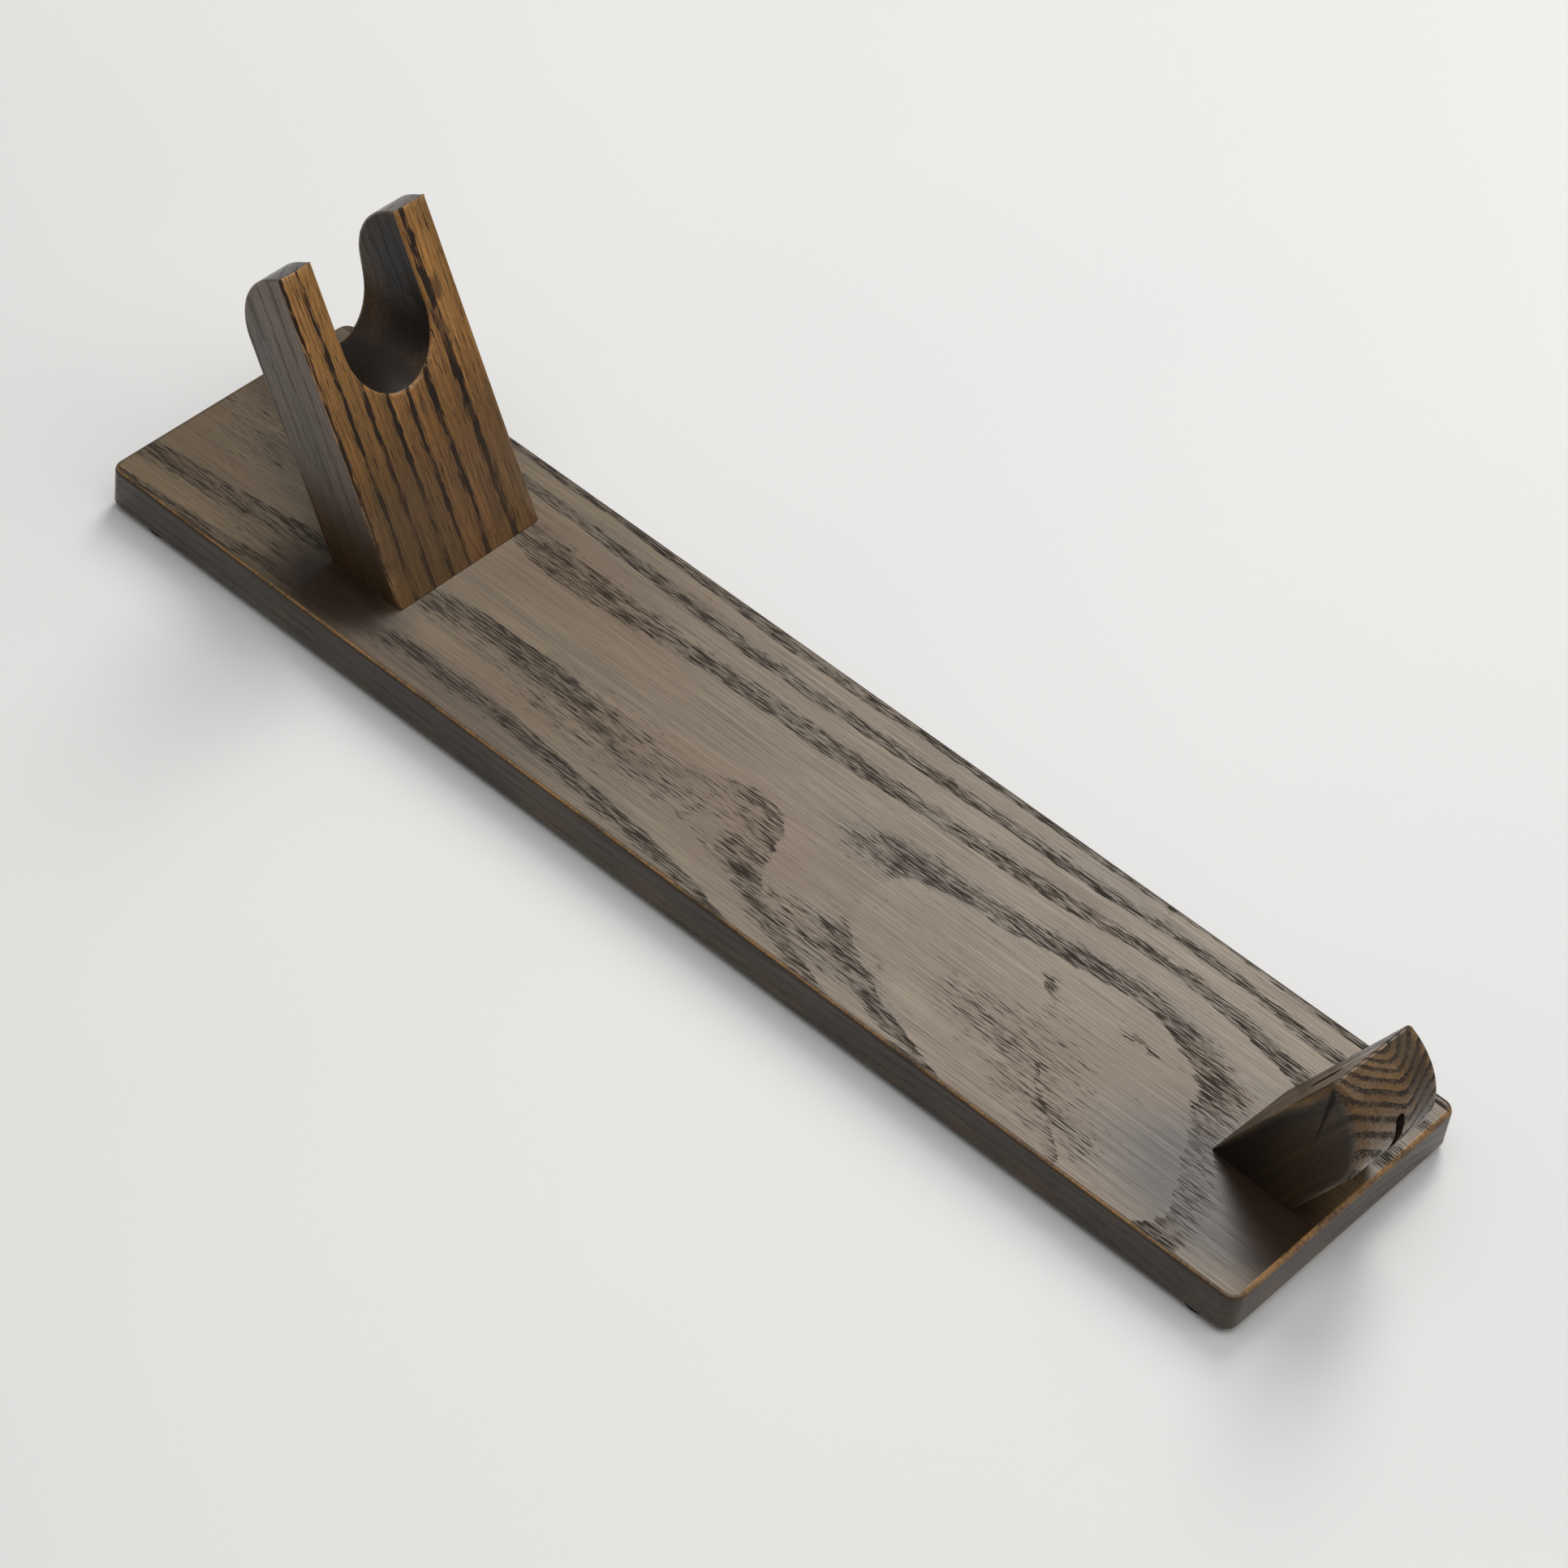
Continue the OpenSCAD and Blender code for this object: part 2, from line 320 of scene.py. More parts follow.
def make_cradle():
    """A slab over the upright plane across the board. Ribs run from the outline of the U notch
    out to the block's outline, from the top of one prong round to the other, and the front and
    back sheets stand where the side view says, drawn back towards every edge by its easing."""
    low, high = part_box("cradle_upright")
    foot, base = high.x, low.z
    half = (high.y - low.y) / 2
    middle = (high.y + low.y) / 2
    side_view, top = block_outline(CRADLE_DEEP, (high.z - base) / math.cos(CRADLE_LEAN),
                                   CRADLE_ROUND, CRADLE_LEAN, CRADLE_TOP_EASE)
    rising, falling = side_view[:top + 1], side_view[top:][::-1]
    peak = side_view[top, 1]
    notch_mid = NOTCH_BOTTOM + NOTCH_HALF
    walk = side_view[top:]
    levels = walk[(walk[:, 1] > notch_mid + 0.2 * MM), 1]
    levels = levels[np.concatenate([[True], -np.diff(levels) > 0.02 * MM])]
    corner_low = math.atan2(-notch_mid, half)
    angles = np.unique(np.concatenate([
        np.linspace(-np.pi, 0, 81),
        [corner_low, -np.pi - corner_low],
        corner_low + np.array([-0.012, 0.012]),
        -np.pi - corner_low + np.array([-0.012, 0.012]),
    ]))
    reach = np.minimum(half / np.maximum(np.abs(np.cos(angles)), 1e-9),
                       notch_mid / np.maximum(-np.sin(angles), 1e-9))
    inner = np.concatenate([
        np.stack([np.full(len(levels), -NOTCH_HALF), levels], axis=1),
        np.stack([NOTCH_HALF * np.cos(angles), notch_mid + NOTCH_HALF * np.sin(angles)], axis=1),
        np.stack([np.full(len(levels), NOTCH_HALF), levels[::-1]], axis=1),
    ])
    outer = np.concatenate([
        np.stack([np.full(len(levels), -half), levels], axis=1),
        np.stack([reach * np.cos(angles), notch_mid + reach * np.sin(angles)], axis=1),
        np.stack([np.full(len(levels), half), levels[::-1]], axis=1),
    ])
    rib = outer - inner
    length = np.linalg.norm(rib, axis=1)[:, None]
    close = CRADLE_EASE * np.array([0, 0.05, 0.16, 0.34, 0.6, 0.9, 1.1])
    along = np.concatenate([
        np.broadcast_to(close, (len(rib), 7)),
        length * np.linspace(0.2, 0.8, 7),
        length - close[::-1],
    ], axis=1)
    spots = inner[:, None, :] + rib[:, None, :] * (along / length)[..., None]
    y, z = spots[..., 0], np.maximum(spots[..., 1], 0)
    front = np.interp(z, rising[:, 1], rising[:, 0])
    back = np.interp(z, falling[:, 1], falling[:, 0])
    thick = front - back
    ease = np.minimum(CRADLE_EASE, thick * 0.49)
    from_notch = np.where(z > notch_mid, np.abs(y), np.hypot(y, z - notch_mid)) - NOTCH_HALF
    from_side = half - np.abs(y)
    drop = np.maximum(edge_drop(np.maximum(from_notch, 0), ease), edge_drop(from_side, ease))
    foot_drop = edge_drop(z, np.minimum(JOINT_EASE, thick * 0.49))
    drop = np.maximum(drop, foot_drop)
    rim = np.clip(drop / CRADLE_EASE * 3, 0, 1)
    wall = np.array([0.015, 0.05, 0.2, 0.35, 0.5, 0.65, 0.8, 0.95, 0.985])
    front_sheet = np.stack([front - drop, y, z], axis=-1)
    back_sheet = np.stack([back + drop, y, z], axis=-1)[:, ::-1]
    outer_wall = front_sheet[:, -1:] + (back_sheet[:, :1] - front_sheet[:, -1:]) * wall[:, None]
    inner_wall = back_sheet[:, -1:] + (front_sheet[:, :1] - back_sheet[:, -1:]) * wall[:, None]
    none = np.zeros(outer_wall.shape[:2])
    points = np.concatenate([front_sheet, outer_wall, back_sheet, inner_wall], axis=1)
    near_side_highlight = smoothstep(0, half, -y)
    crown = smoothstep(peak - 1.8 * MM, peak - 0.3 * MM, z)
    # Front darker towards the bottom.
    front_darker_low = 0.54 * (1 - smoothstep(20 * MM, 68 * MM, z))
    # Back and the round over the top darker towards the top.
    back_darker_top = 0.75 + 0.2 * smoothstep(0.9 * peak, peak, z)
    # Front rim: wear on the eased edges and along the top, stronger on the near side as a painted
    # highlight on the notch's near rim.
    front_rim = np.maximum(rim * (0.35 + 0.65 * near_side_highlight), 0.8 * crown)
    rim = np.concatenate([front_rim, none, rim[:, ::-1] * 0.3, none], axis=1)
    # Sides: painted shade, as they get less light than the front, lighter towards the top as a painted
    # sheen.
    side_painted_shade = none + (0.92 - 0.24 * smoothstep(0, peak, z[:, :1]))
    # The notch's inner walls darkest: stain soaked into the cut wood, and painted shade inside the
    # notch.
    soak_and_shade = np.concatenate([front_darker_low, side_painted_shade, back_darker_top[:, ::-1], none + 1], axis=1)
    points = points + np.array([foot, middle, base])
    piece = make_mesh("cradle_upright_wood", points,
                      grid_quads(points.shape[0], points.shape[1], closed_cols=True), rim, 50, soak_and_shade)
    return cut(piece, [pilot("screw_cradle_left", base), pilot("screw_cradle_right", base)], 50)


def pilot(screw, base):
    """Cutter for the hole that one screw's thread cuts its way into, from under the block."""
    low, high = SCREWS[screw]
    return revolved("pilot_" + screw, [0, PILOT_RADIUS, PILOT_RADIUS, 0],
                    [base - PAST, base - PAST, high.z, high.z + PILOT_RADIUS],
                    [(low.x + high.x) / 2, (low.y + high.y) / 2, 0], 32)


def stop_frame():
    """Where the stop block stands: its centre on the board, from the box of the turned block."""
    low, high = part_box("stop_block")
    half_foot = STOP_DEEP / math.cos(STOP_LEAN) / 2
    turn = abs(STOP_TURN)
    x = low.x + half_foot * math.cos(turn) + STOP_WIDE / 2 * math.sin(turn)
    y = high.y - half_foot * math.sin(turn) - STOP_WIDE / 2 * math.cos(turn)
    return Vector((x, y, low.z)), high.z - low.z, half_foot


def placed_on_stop(points):
    """Points of the stop's own frame, turned about the upright through its centre and moved
    there."""
    centre = stop_frame()[0]
    c, s = math.cos(STOP_TURN), math.sin(STOP_TURN)
    x = points[..., 0] * c - points[..., 1] * s
    y = points[..., 0] * s + points[..., 1] * c
    return np.stack([x + centre.x, y + centre.y, points[..., 2] + centre.z], axis=-1)


def make_stop():
    """The block's side view carried across its width. Towards each end the outline is drawn in
    along its own normal by the easing, and a fan round the middle closes it flat; the slot is cut
    through after."""
    centre, tall, half_foot = stop_frame()
    view = block_outline(STOP_DEEP, tall / math.cos(STOP_LEAN), STOP_ROUND, STOP_LEAN, STOP_TOP_EASE)[0]
    view = view * np.array([-1, 1])
    view[:, 0] -= half_foot
    closing = np.linspace(view[-1], view[0], 12)[1:-1]
    view = np.concatenate([view, closing])
    ahead = np.roll(view, -1, axis=0) - view
    behind = view - np.roll(view, 1, axis=0)
    along = ahead / np.linalg.norm(ahead, axis=1)[:, None]
    along = along + behind / np.linalg.norm(behind, axis=1)[:, None]
    inward = np.stack([along[:, 1], -along[:, 0]], axis=1)
    inward = inward / np.linalg.norm(inward, axis=1)[:, None]
    if np.sum((np.mean(view, axis=0) - view) * inward) < 0:
        inward = -inward
    steps = np.linspace(0, np.pi / 2, 11)
    out, up = view[:, 0], view[:, 1]
    ease = JOINT_EASE + (STOP_EASE - JOINT_EASE) * smoothstep(0.5 * MM, 7 * MM, up)
    nose = smoothstep(0.35 * tall, 0.72 * tall, up)
    nose = nose * smoothstep(0.1 * half_foot, 0.8 * half_foot, out)
    near = ease + STOP_NEAR_EXTRA * nose * (1 - smoothstep(0.93 * tall, tall, up))
    rows, rims, soaks = [], [], []
    # Painted light and shade on the stop: the upper nose, where light falls, is left light, and the
    # faces below and behind it are darkened.
    pale = smoothstep(0.3 * tall, 0.42 * tall, up)
    pale = pale * smoothstep(-0.1 * half_foot, 0.15 * half_foot, out)
    between_soak_shade = 0.75 * (1 - pale)
    for side, size in ((-1, near), (1, ease)):
        drop = size[None, :] * (1 - np.sin(steps))[:, None]
        from_end = size[None, :] * (1 - np.cos(steps))[:, None]
        flat = view[None] + inward[None] * drop[..., None]
        y = side * (STOP_WIDE / 2 - from_end)
        part = np.stack([flat[..., 0], y, flat[..., 1]], axis=-1)
        worn = np.repeat((np.sin(2 * steps) ** 2)[:, None], len(view), axis=1)
        paling = smoothstep(0.6 - 0.45 * nose, 1.0 - 0.2 * nose, np.sin(steps)[:, None])
        # The ends darkest, as painted shade on the stop's sides, blending over the easing into the
        # faces between.
        soak_shade = 0.9 + (between_soak_shade - 0.9) * paling
        inner = view + inward * (size * 1.08)[:, None]
        at_end = np.full(len(view), side * STOP_WIDE / 2)
        inner = np.stack([inner[:, 0], at_end, inner[:, 1]], axis=-1)
        part = np.concatenate([inner[None], part])
        worn = np.concatenate([np.zeros((1, len(view))), worn])
        soak_shade = np.concatenate([np.full((1, len(view)), 0.9), soak_shade])
        rows.append(part if side < 0 else part[::-1])
        rims.append(worn if side < 0 else worn[::-1])
        soaks.append(soak_shade if side < 0 else soak_shade[::-1])
    share = np.linspace(0, 1, 14)[1:-1, None, None]
    between = rows[0][-1] + (rows[1][0] - rows[0][-1]) * share
    points = np.concatenate([rows[0], between, rows[1]])
    rim = np.concatenate([rims[0], np.zeros(between.shape[:2]), rims[1]])
    # Darker still towards the +Y end and lower down.
    right_hand = smoothstep(0.05 * STOP_WIDE, 0.3 * STOP_WIDE, between[..., 1])
    low_down = 1 - smoothstep(0.35 * tall, 0.62 * tall, between[..., 2])
    between_soak_shade = np.maximum(between_soak_shade, 0.62 * np.maximum(right_hand, low_down))
    soak_and_shade = np.concatenate([soaks[0], between_soak_shade, soaks[1]])
    points = placed_on_stop(points)
    n = len(view)
    quads = grid_quads(points.shape[0], n, closed_cols=True).tolist()
    last = (points.shape[0] - 1) * n
    spoke = np.arange(n)
    after = (spoke + 1) % n
    quads += np.stack([after, spoke, np.full(n, last + n)], axis=1).tolist()
    quads += np.stack([last + spoke, last + after, np.full(n, last + n + 1)], axis=1).tolist()
    hubs = np.stack([points[0].mean(axis=0), points[-1].mean(axis=0)])
    points = np.concatenate([points.reshape(-1, 3), hubs])
    rim = np.append(rim, [0, 0])
    # The centres of the ends take the same painted shade.
    soak_and_shade = np.append(soak_and_shade, [0.9, 0.9])
    piece = make_mesh("stop_block_wood", points, quads, rim, 40, soak_and_shade)
    return cut(piece, [slot_cutter(), pilot("screw_stop_left", centre.z),
                       pilot("screw_stop_right", centre.z)], 40)


def slot_cutter():
    """An upright round-ended outline, carried straight through the stop."""
    t = np.linspace(-np.pi / 2, np.pi / 2, 25)
    lower, upper = SLOT_LOW + SLOT_HALF, SLOT_LOW + SLOT_TALL - SLOT_HALF
    y = np.concatenate([SLOT_HALF * np.sin(t), SLOT_HALF * np.sin(-t)])
    z = np.concatenate([lower - SLOT_HALF * np.cos(t), upper + SLOT_HALF * np.cos(t)])
    x = np.array([-60 * MM, 60 * MM])
    n = len(y)
    ring = np.stack([np.repeat(x[:, None], n, axis=1), np.tile(y, (2, 1)), np.tile(z, (2, 1))], axis=-1)
    faces = grid_quads(2, n, closed_cols=True).tolist()
    faces += [list(range(n))[::-1], list(range(n, 2 * n))]
    return make_mesh("slot_cutter", placed_on_stop(ring), faces)


# ---------------------------------------------------------------- feet and screws


def make_foot(node):
    """A rubber pad: a disc with an eased lower rim and a barely hollow underside."""
    low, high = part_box(node)
    radius, tall = (high.x - low.x) / 2, high.z - low.z
    bend = np.linspace(0, np.pi / 2, 9)
    r = np.concatenate([[0, radius * 0.35, radius * 0.6, radius - FOOT_RIM * 1.3],
                        radius - FOOT_RIM * (1 - np.sin(bend)), [radius, radius * 0.985, 0]])
    h = np.concatenate([np.array([0.12, 0.11, 0.06, 0]) * MM, FOOT_RIM * (1 - np.cos(bend)),
                        [tall - 0.1 * MM, tall, tall]])
    worn = np.concatenate([np.zeros(4), np.sin(bend * 2), np.zeros(3)])
    return revolved(node + "_rubber", r, low.z + h,
                    [(low.x + high.x) / 2, (low.y + high.y) / 2, 0], 72, worn)


def make_screw(node):
    """A wood screw on its head: a flat countersunk head, a neck, and a thread whose radius swings
    between core and crest with height over pitch minus angle over a turn, down to a point."""
    low, high = SCREWS[node]
    head = (high.x - low.x) / 2
    length = high.z - low.z
    up = np.concatenate([
        [0, 0, 0.12 * MM],
        np.linspace(0.12 * MM, head - SCREW_NECK, 6)[1:],
        np.linspace(head - SCREW_NECK, SCREW_NECK_END, 5)[1:],
        np.linspace(SCREW_NECK_END, length, 190)[1:],
    ])
    turns = 36
    angle = np.linspace(0, 2 * np.pi, turns, endpoint=False)
    plain = np.interp(up, [0, 0.12 * MM, head - SCREW_NECK, SCREW_NECK_END, SCREW_NECK_END + 0.6 * MM,
                           length - SCREW_TIP, length],
                      [head - 0.1 * MM, head, SCREW_NECK, SCREW_NECK, SCREW_CORE, SCREW_CORE, 0])
    wave = (up[:, None] / SCREW_PITCH - angle / (2 * np.pi)) % 1
    crest = np.clip(1 - np.abs(wave - 0.5) / 0.32, 0, 1) ** 0.8
    height = (SCREW_CREST - SCREW_CORE) * smoothstep(SCREW_NECK_END, SCREW_NECK_END + SCREW_PITCH, up)
    height = height * smoothstep(length, length - SCREW_TIP * 1.2, up)
    radius = plain[:, None] + crest * height[:, None]
    radius[0] = 0
    radius[-1] = 0
    piece = revolved(node + "_steel", radius, low.z + up,
                     [(low.x + high.x) / 2, (low.y + high.y) / 2, 0], turns)
    arms = []
    for turn in (0, math.pi / 2):
        arms.append(recess_arm(turn + 0.4, (low.x + high.x) / 2, (low.y + high.y) / 2, low.z))
    return cut(piece, arms, 30)


def recess_arm(turn, x, y, z):
    """One arm of the cross recess: an oblong that narrows as it goes into the head."""
    half_long = np.array([2.3, 2.2, 1.1]) * MM
    half_wide = np.array([0.62, 0.6, 0.4]) * MM
    rise = np.array([-1.0, 0, 1.5]) * MM
    corners = np.array([[1, 1], [-1, 1], [-1, -1], [1, -1]])
    flat = corners[None] * np.stack([half_long, half_wide], axis=1)[:, None, :]
    c, s = math.cos(turn), math.sin(turn)
    px = flat[..., 0] * c - flat[..., 1] * s + x
    py = flat[..., 0] * s + flat[..., 1] * c + y
    points = np.stack([px, py, np.broadcast_to(rise[:, None] + z, px.shape)], axis=-1)
    faces = grid_quads(3, 4, closed_cols=True).tolist()
    faces += [[3, 2, 1, 0], [8, 9, 10, 11]]
    return make_mesh("recess_arm", points, faces)


# ---------------------------------------------------------------- node helpers


class Net:
    """A small hand for wiring one node tree: each call adds a node and gives its output."""

    def __init__(self, tree):
        self.tree = tree

    def put(self, socket, value):
        if value is None:
            return
        if isinstance(value, bpy.types.NodeSocket):
            self.tree.links.new(value, socket)
        else:
            socket.default_value = value

    def node(self, kind, inputs=None, **settings):
        made = self.tree.nodes.new(kind)
        for key, value in settings.items():
            setattr(made, key, value)
        for key, value in (inputs or {}).items():
            self.put(made.inputs[key], value)
        return made

    def math(self, operation, a, b=None, c=None, clamp=False):
        made = self.node("ShaderNodeMath", operation=operation, use_clamp=clamp)
        for socket, value in zip(made.inputs, (a, b, c)):
            self.put(socket, value)
        return made.outputs[0]

    def vector(self, operation, a, b=None):
        made = self.node("ShaderNodeVectorMath", operation=operation)
        for socket, value in zip(made.inputs, (a, b)):
            self.put(socket, value)
        scalar = operation in ("LENGTH", "DOT_PRODUCT")
        return made.outputs["Value" if scalar else "Vector"]

    def noise(self, vector, scale, detail=2.0, rough=0.5):
        """Noise of the vector, stretched by scale, a triple of waves per metre."""
        place = self.vector("MULTIPLY", vector, scale)
        made = self.node("ShaderNodeTexNoise", {"Vector": place, "Scale": 1.0, "Detail": detail,
                                                "Roughness": rough})
        return made.outputs["Fac"]

    def span(self, value, low, high, to_low=0.0, to_high=1.0, smooth=True):
        """Carries low..high of a value over to to_low..to_high, held at the ends."""
        made = self.node("ShaderNodeMapRange", {0: value, 1: low, 2: high, 3: to_low, 4: to_high},
                         interpolation_type="SMOOTHSTEP" if smooth else "LINEAR")
        return made.outputs[0]

    def mix(self, share, a, b, blend="MIX"):
        made = self.node("ShaderNodeMix", data_type="RGBA", blend_type=blend)
        self.put(made.inputs[0], share)
        self.put(made.inputs[6], a)
        self.put(made.inputs[7], b)
        return made.outputs[2]

    def use(self, group, inputs):
        made = self.node("ShaderNodeGroup", node_tree=group)
        for key, value in inputs.items():
            self.put(made.inputs[key], value)
        return made


def new_group(name, inputs, outputs):
    """A shader group with named sockets: inputs are (name, kind, default) and outputs are
    (name, kind)."""
    tree = bpy.data.node_groups.new(name, "ShaderNodeTree")
    for label, kind, value in inputs:
        made = tree.interface.new_socket(
            name=label, in_out="INPUT", socket_type="NodeSocket" + kind)
        if value is not None:
            made.default_value = value
    for label, kind in outputs:
        tree.interface.new_socket(name=label, in_out="OUTPUT", socket_type="NodeSocket" + kind)
    net = Net(tree)
    return net, net.node("NodeGroupInput").outputs, net.node("NodeGroupOutput").inputs


def new_material(name):
    """An empty material: gives it, a net for its tree, and the object's own coordinates."""
    material = bpy.data.materials.new(name)
    material.use_nodes = True
    material.node_tree.nodes.clear()
    net = Net(material.node_tree)
    return material, net, net.node("ShaderNodeTexCoord").outputs["Object"]


def finished(material, net, inputs):
    """The material, once a Principled shader with the given inputs is wired to its output."""
    shader = net.node("ShaderNodeBsdfPrincipled", inputs)
    net.put(net.node("ShaderNodeOutputMaterial").inputs["Surface"], shader.outputs[0])
    return material


def colour(r, g, b):
    """A screen colour from 0 to 255 as linear light."""
    c = np.array([r, g, b]) / 255
    lin = np.where(c <= 0.04045, c / 12.92, ((c + 0.055) / 1.055) ** 2.4)
    return (float(lin[0]), float(lin[1]), float(lin[2]), 1.0)


# ---------------------------------------------------------------- wood


def growth_group():
    """Growth rings round a pith that runs along the grain: the distance from the pith, in ring
    widths, plus slow waves and a given swell. Early wood starts sharply at each ring's boundary
    and dies away through the ring."""
    net, inp, out = new_group(
        "growth rings",
        [("Grain", "Vector", None), ("Pith Across", "Float", 0.0), ("Pith Down", "Float", -0.1),
         ("Ring Width", "Float", 0.004), ("Waves", "Float", 0.3), ("Swell", "Float", 0.0),
         ("Early Share", "Float", 0.45), ("Broken", "Float", 0.0), ("Fray", "Float", 0.08)],
        [("Phase", "Float"), ("Early", "Float"), ("Tone", "Float")])
    parts = net.node("ShaderNodeSeparateXYZ", {0: inp["Grain"]}).outputs
    across = net.math("SUBTRACT", parts["Y"], inp["Pith Across"])
    down = net.math("SUBTRACT", parts["Z"], inp["Pith Down"])
    squares = net.math("ADD", net.math("MULTIPLY", across, across), net.math("MULTIPLY", down, down))
    rings = net.math("DIVIDE", net.math("SQRT", squares), inp["Ring Width"])
    slow = net.noise(inp["Grain"], (9.0, 45.0, 45.0), detail=1.0)
    quick = net.noise(inp["Grain"], (60.0, 420.0, 420.0), detail=2.0)
    wave = net.math("MULTIPLY", net.math("SUBTRACT", slow, 0.5), inp["Waves"])
    ripple = net.math("MULTIPLY", net.math("SUBTRACT", quick, 0.5), 0.16)
    fray = net.noise(inp["Grain"], (170.0, 1300.0, 1300.0), detail=1.0)
    fray = net.math("MULTIPLY", net.math("SUBTRACT", fray, 0.5), inp["Fray"])
    ripple = net.math("ADD", ripple, fray)
    count = net.math("ADD", net.math("ADD", rings, inp["Swell"]), net.math("ADD", wave, ripple))
    phase = net.math("FRACT", count)
    ring = net.math("FLOOR", count)
    tone = net.node("ShaderNodeTexWhiteNoise", {"W": ring}, noise_dimensions="1D").outputs["Value"]
    start = net.span(phase, 0.0, 0.035)
    full_until = net.math("MULTIPLY", inp["Early Share"], 0.45)
    fade = net.span(phase, full_until, inp["Early Share"], 1.0, 0.0)
    gaps = net.span(net.noise(inp["Grain"], (75.0, 260.0, 260.0), detail=1.0), 0.42, 0.58)
    missing = net.math("MULTIPLY", net.math("SUBTRACT", 1.0, gaps), inp["Broken"])
    kept = net.math("SUBTRACT", 1.0, missing)
    net.put(out["Phase"], phase)
    net.put(out["Early"], net.math("MULTIPLY", net.math("MULTIPLY", start, fade), kept))
    net.put(out["Tone"], tone)
    return net.tree


def pores_group():
    """Open pores and fibres. Pores are dashes drawn out along the grain, and there are more of
    them where the wood is early; across the grain the same pores show as dots."""
    net, inp, out = new_group(
        "pores and fibres",
        [("Grain", "Vector", None), ("Early", "Float", 0.0), ("Open", "Float", 1.0),
         ("Scatter", "Float", 0.0)],
        [("Pores", "Float"), ("Fibre", "Float"), ("Streak", "Float")])
    broad = net.noise(inp["Grain"], (115.0, 2200.0, 2200.0), detail=1.0, rough=0.5)
    fine = net.noise(inp["Grain"], (200.0, 3900.0, 3900.0), detail=1.0)
    patch = net.noise(inp["Grain"], (35.0, 260.0, 260.0), detail=2.0)
    gate = net.math("MULTIPLY", inp["Early"], net.span(patch, 0.3, 0.62, 0.7, 1.1))
    gate = net.math("ADD", net.math("MULTIPLY", gate, inp["Open"]), inp["Scatter"])
    level = net.math("SUBTRACT", 0.76, net.math("MULTIPLY", gate, 0.25))
    large = net.span(net.math("SUBTRACT", broad, level), 0.0, 0.05)
    level_fine = net.math("SUBTRACT", 0.72, net.math("MULTIPLY", gate, 0.21))
    small = net.span(net.math("SUBTRACT", fine, level_fine), 0.0, 0.06, 0.0, 0.85)
    net.put(out["Pores"], net.math("MAXIMUM", large, small))
    net.put(out["Fibre"], net.noise(inp["Grain"], (30.0, 2100.0, 2100.0), detail=3.0, rough=0.75))
    net.put(out["Streak"], net.noise(inp["Grain"], (6.0, 650.0, 650.0), detail=2.0, rough=0.6))
    return net.tree


def wear_group():
    """Pale marks along the eased edges, broken up by two sizes of noise: where handling has thinned
    the stain, and on the near edges of the board and cradle also a painted highlight.
    """
    net, inp, out = new_group(
        "edge wear", [("Place", "Vector", None), ("Rim", "Float", 0.0), ("Amount", "Float", 1.0)],
        [("Worn", "Float")])
    coarse = net.noise(inp["Place"], (70.0, 70.0, 70.0), detail=2.0)
    crumb = net.noise(inp["Place"], (900.0, 900.0, 900.0), detail=2.0)
    patchy = net.math("ADD", net.math("MULTIPLY", coarse, 0.7), net.math("MULTIPLY", crumb, 0.5))
    worn = net.math("MULTIPLY", inp["Rim"], net.span(patchy, 0.42, 0.74, 0.08, 1.0))
    net.put(out["Worn"], net.math("MULTIPLY", worn, inp["Amount"], clamp=True))
    return net.tree


def swells(net, grain, bumps):
    """Turned-aside rings: the sum of soft mounds, each lift * exp(-(distance / reach) squared)."""
    total = None
    for x, y, reach_x, reach_y, lift in bumps:
        away = net.vector("SUBTRACT", grain, (x * MM, y * MM, 0.0))
        away = net.vector("MULTIPLY", away, (1 / (reach_x * MM), 1 / (reach_y * MM), 6.0))
        square = net.vector("DOT_PRODUCT", away, away)
        mound = net.math("EXPONENT", net.math("MULTIPLY", square, -1.0))
        mound = net.math("MULTIPLY", mound, lift)
        total = mound if total is None else net.math("ADD", total, mound)
    return total


def strays(net, grain, lines):
    """Early wood on the right-hand side of each short line: sharp at the line and fading away
    from it, and soft towards the line's ends."""
    total = None
    for x, y, way, long, fade in lines:
        a = math.radians(way)
        place = net.vector("SUBTRACT", grain, (x * MM, y * MM, 0.0))
        along = net.vector("DOT_PRODUCT", place, (math.cos(a), math.sin(a), 0.0))
        off = net.vector("DOT_PRODUCT", place, (math.sin(a), -math.cos(a), 0.0))
        wander = net.math("SUBTRACT", net.noise(grain, (150.0, 300.0, 300.0)), 0.5)
        off = net.math("ADD", off, net.math("MULTIPLY", wander, 6 * MM))
        mask = net.math("MULTIPLY", net.span(off, 0.0, 0.4 * MM),
                        net.span(off, 0.5 * MM, fade * MM, 1.0, 0.0))
        mask = net.math("MULTIPLY", mask, net.span(along, 0.0, 5 * MM))
        mask = net.math("MULTIPLY", mask, net.span(along, (long - 6) * MM, long * MM, 1.0, 0.0))
        total = mask if total is None else net.math("MAXIMUM", total, mask)
    return total


def soft_patches(net, grain, spots):
    """Soft mounds over the face, joined by the larger of each pair."""
    total = None
    for x, y, reach_x, reach_y, depth in spots:
        away = net.vector("SUBTRACT", grain, (x * MM, y * MM, 0.0))
        away = net.vector("MULTIPLY", away, (1 / (reach_x * MM), 1 / (reach_y * MM), 0.0))
        mound = net.span(net.vector("LENGTH", away), 0.35, 1.0, depth, 0.0)
        total = mound if total is None else net.math("MAXIMUM", total, mound)
    return total


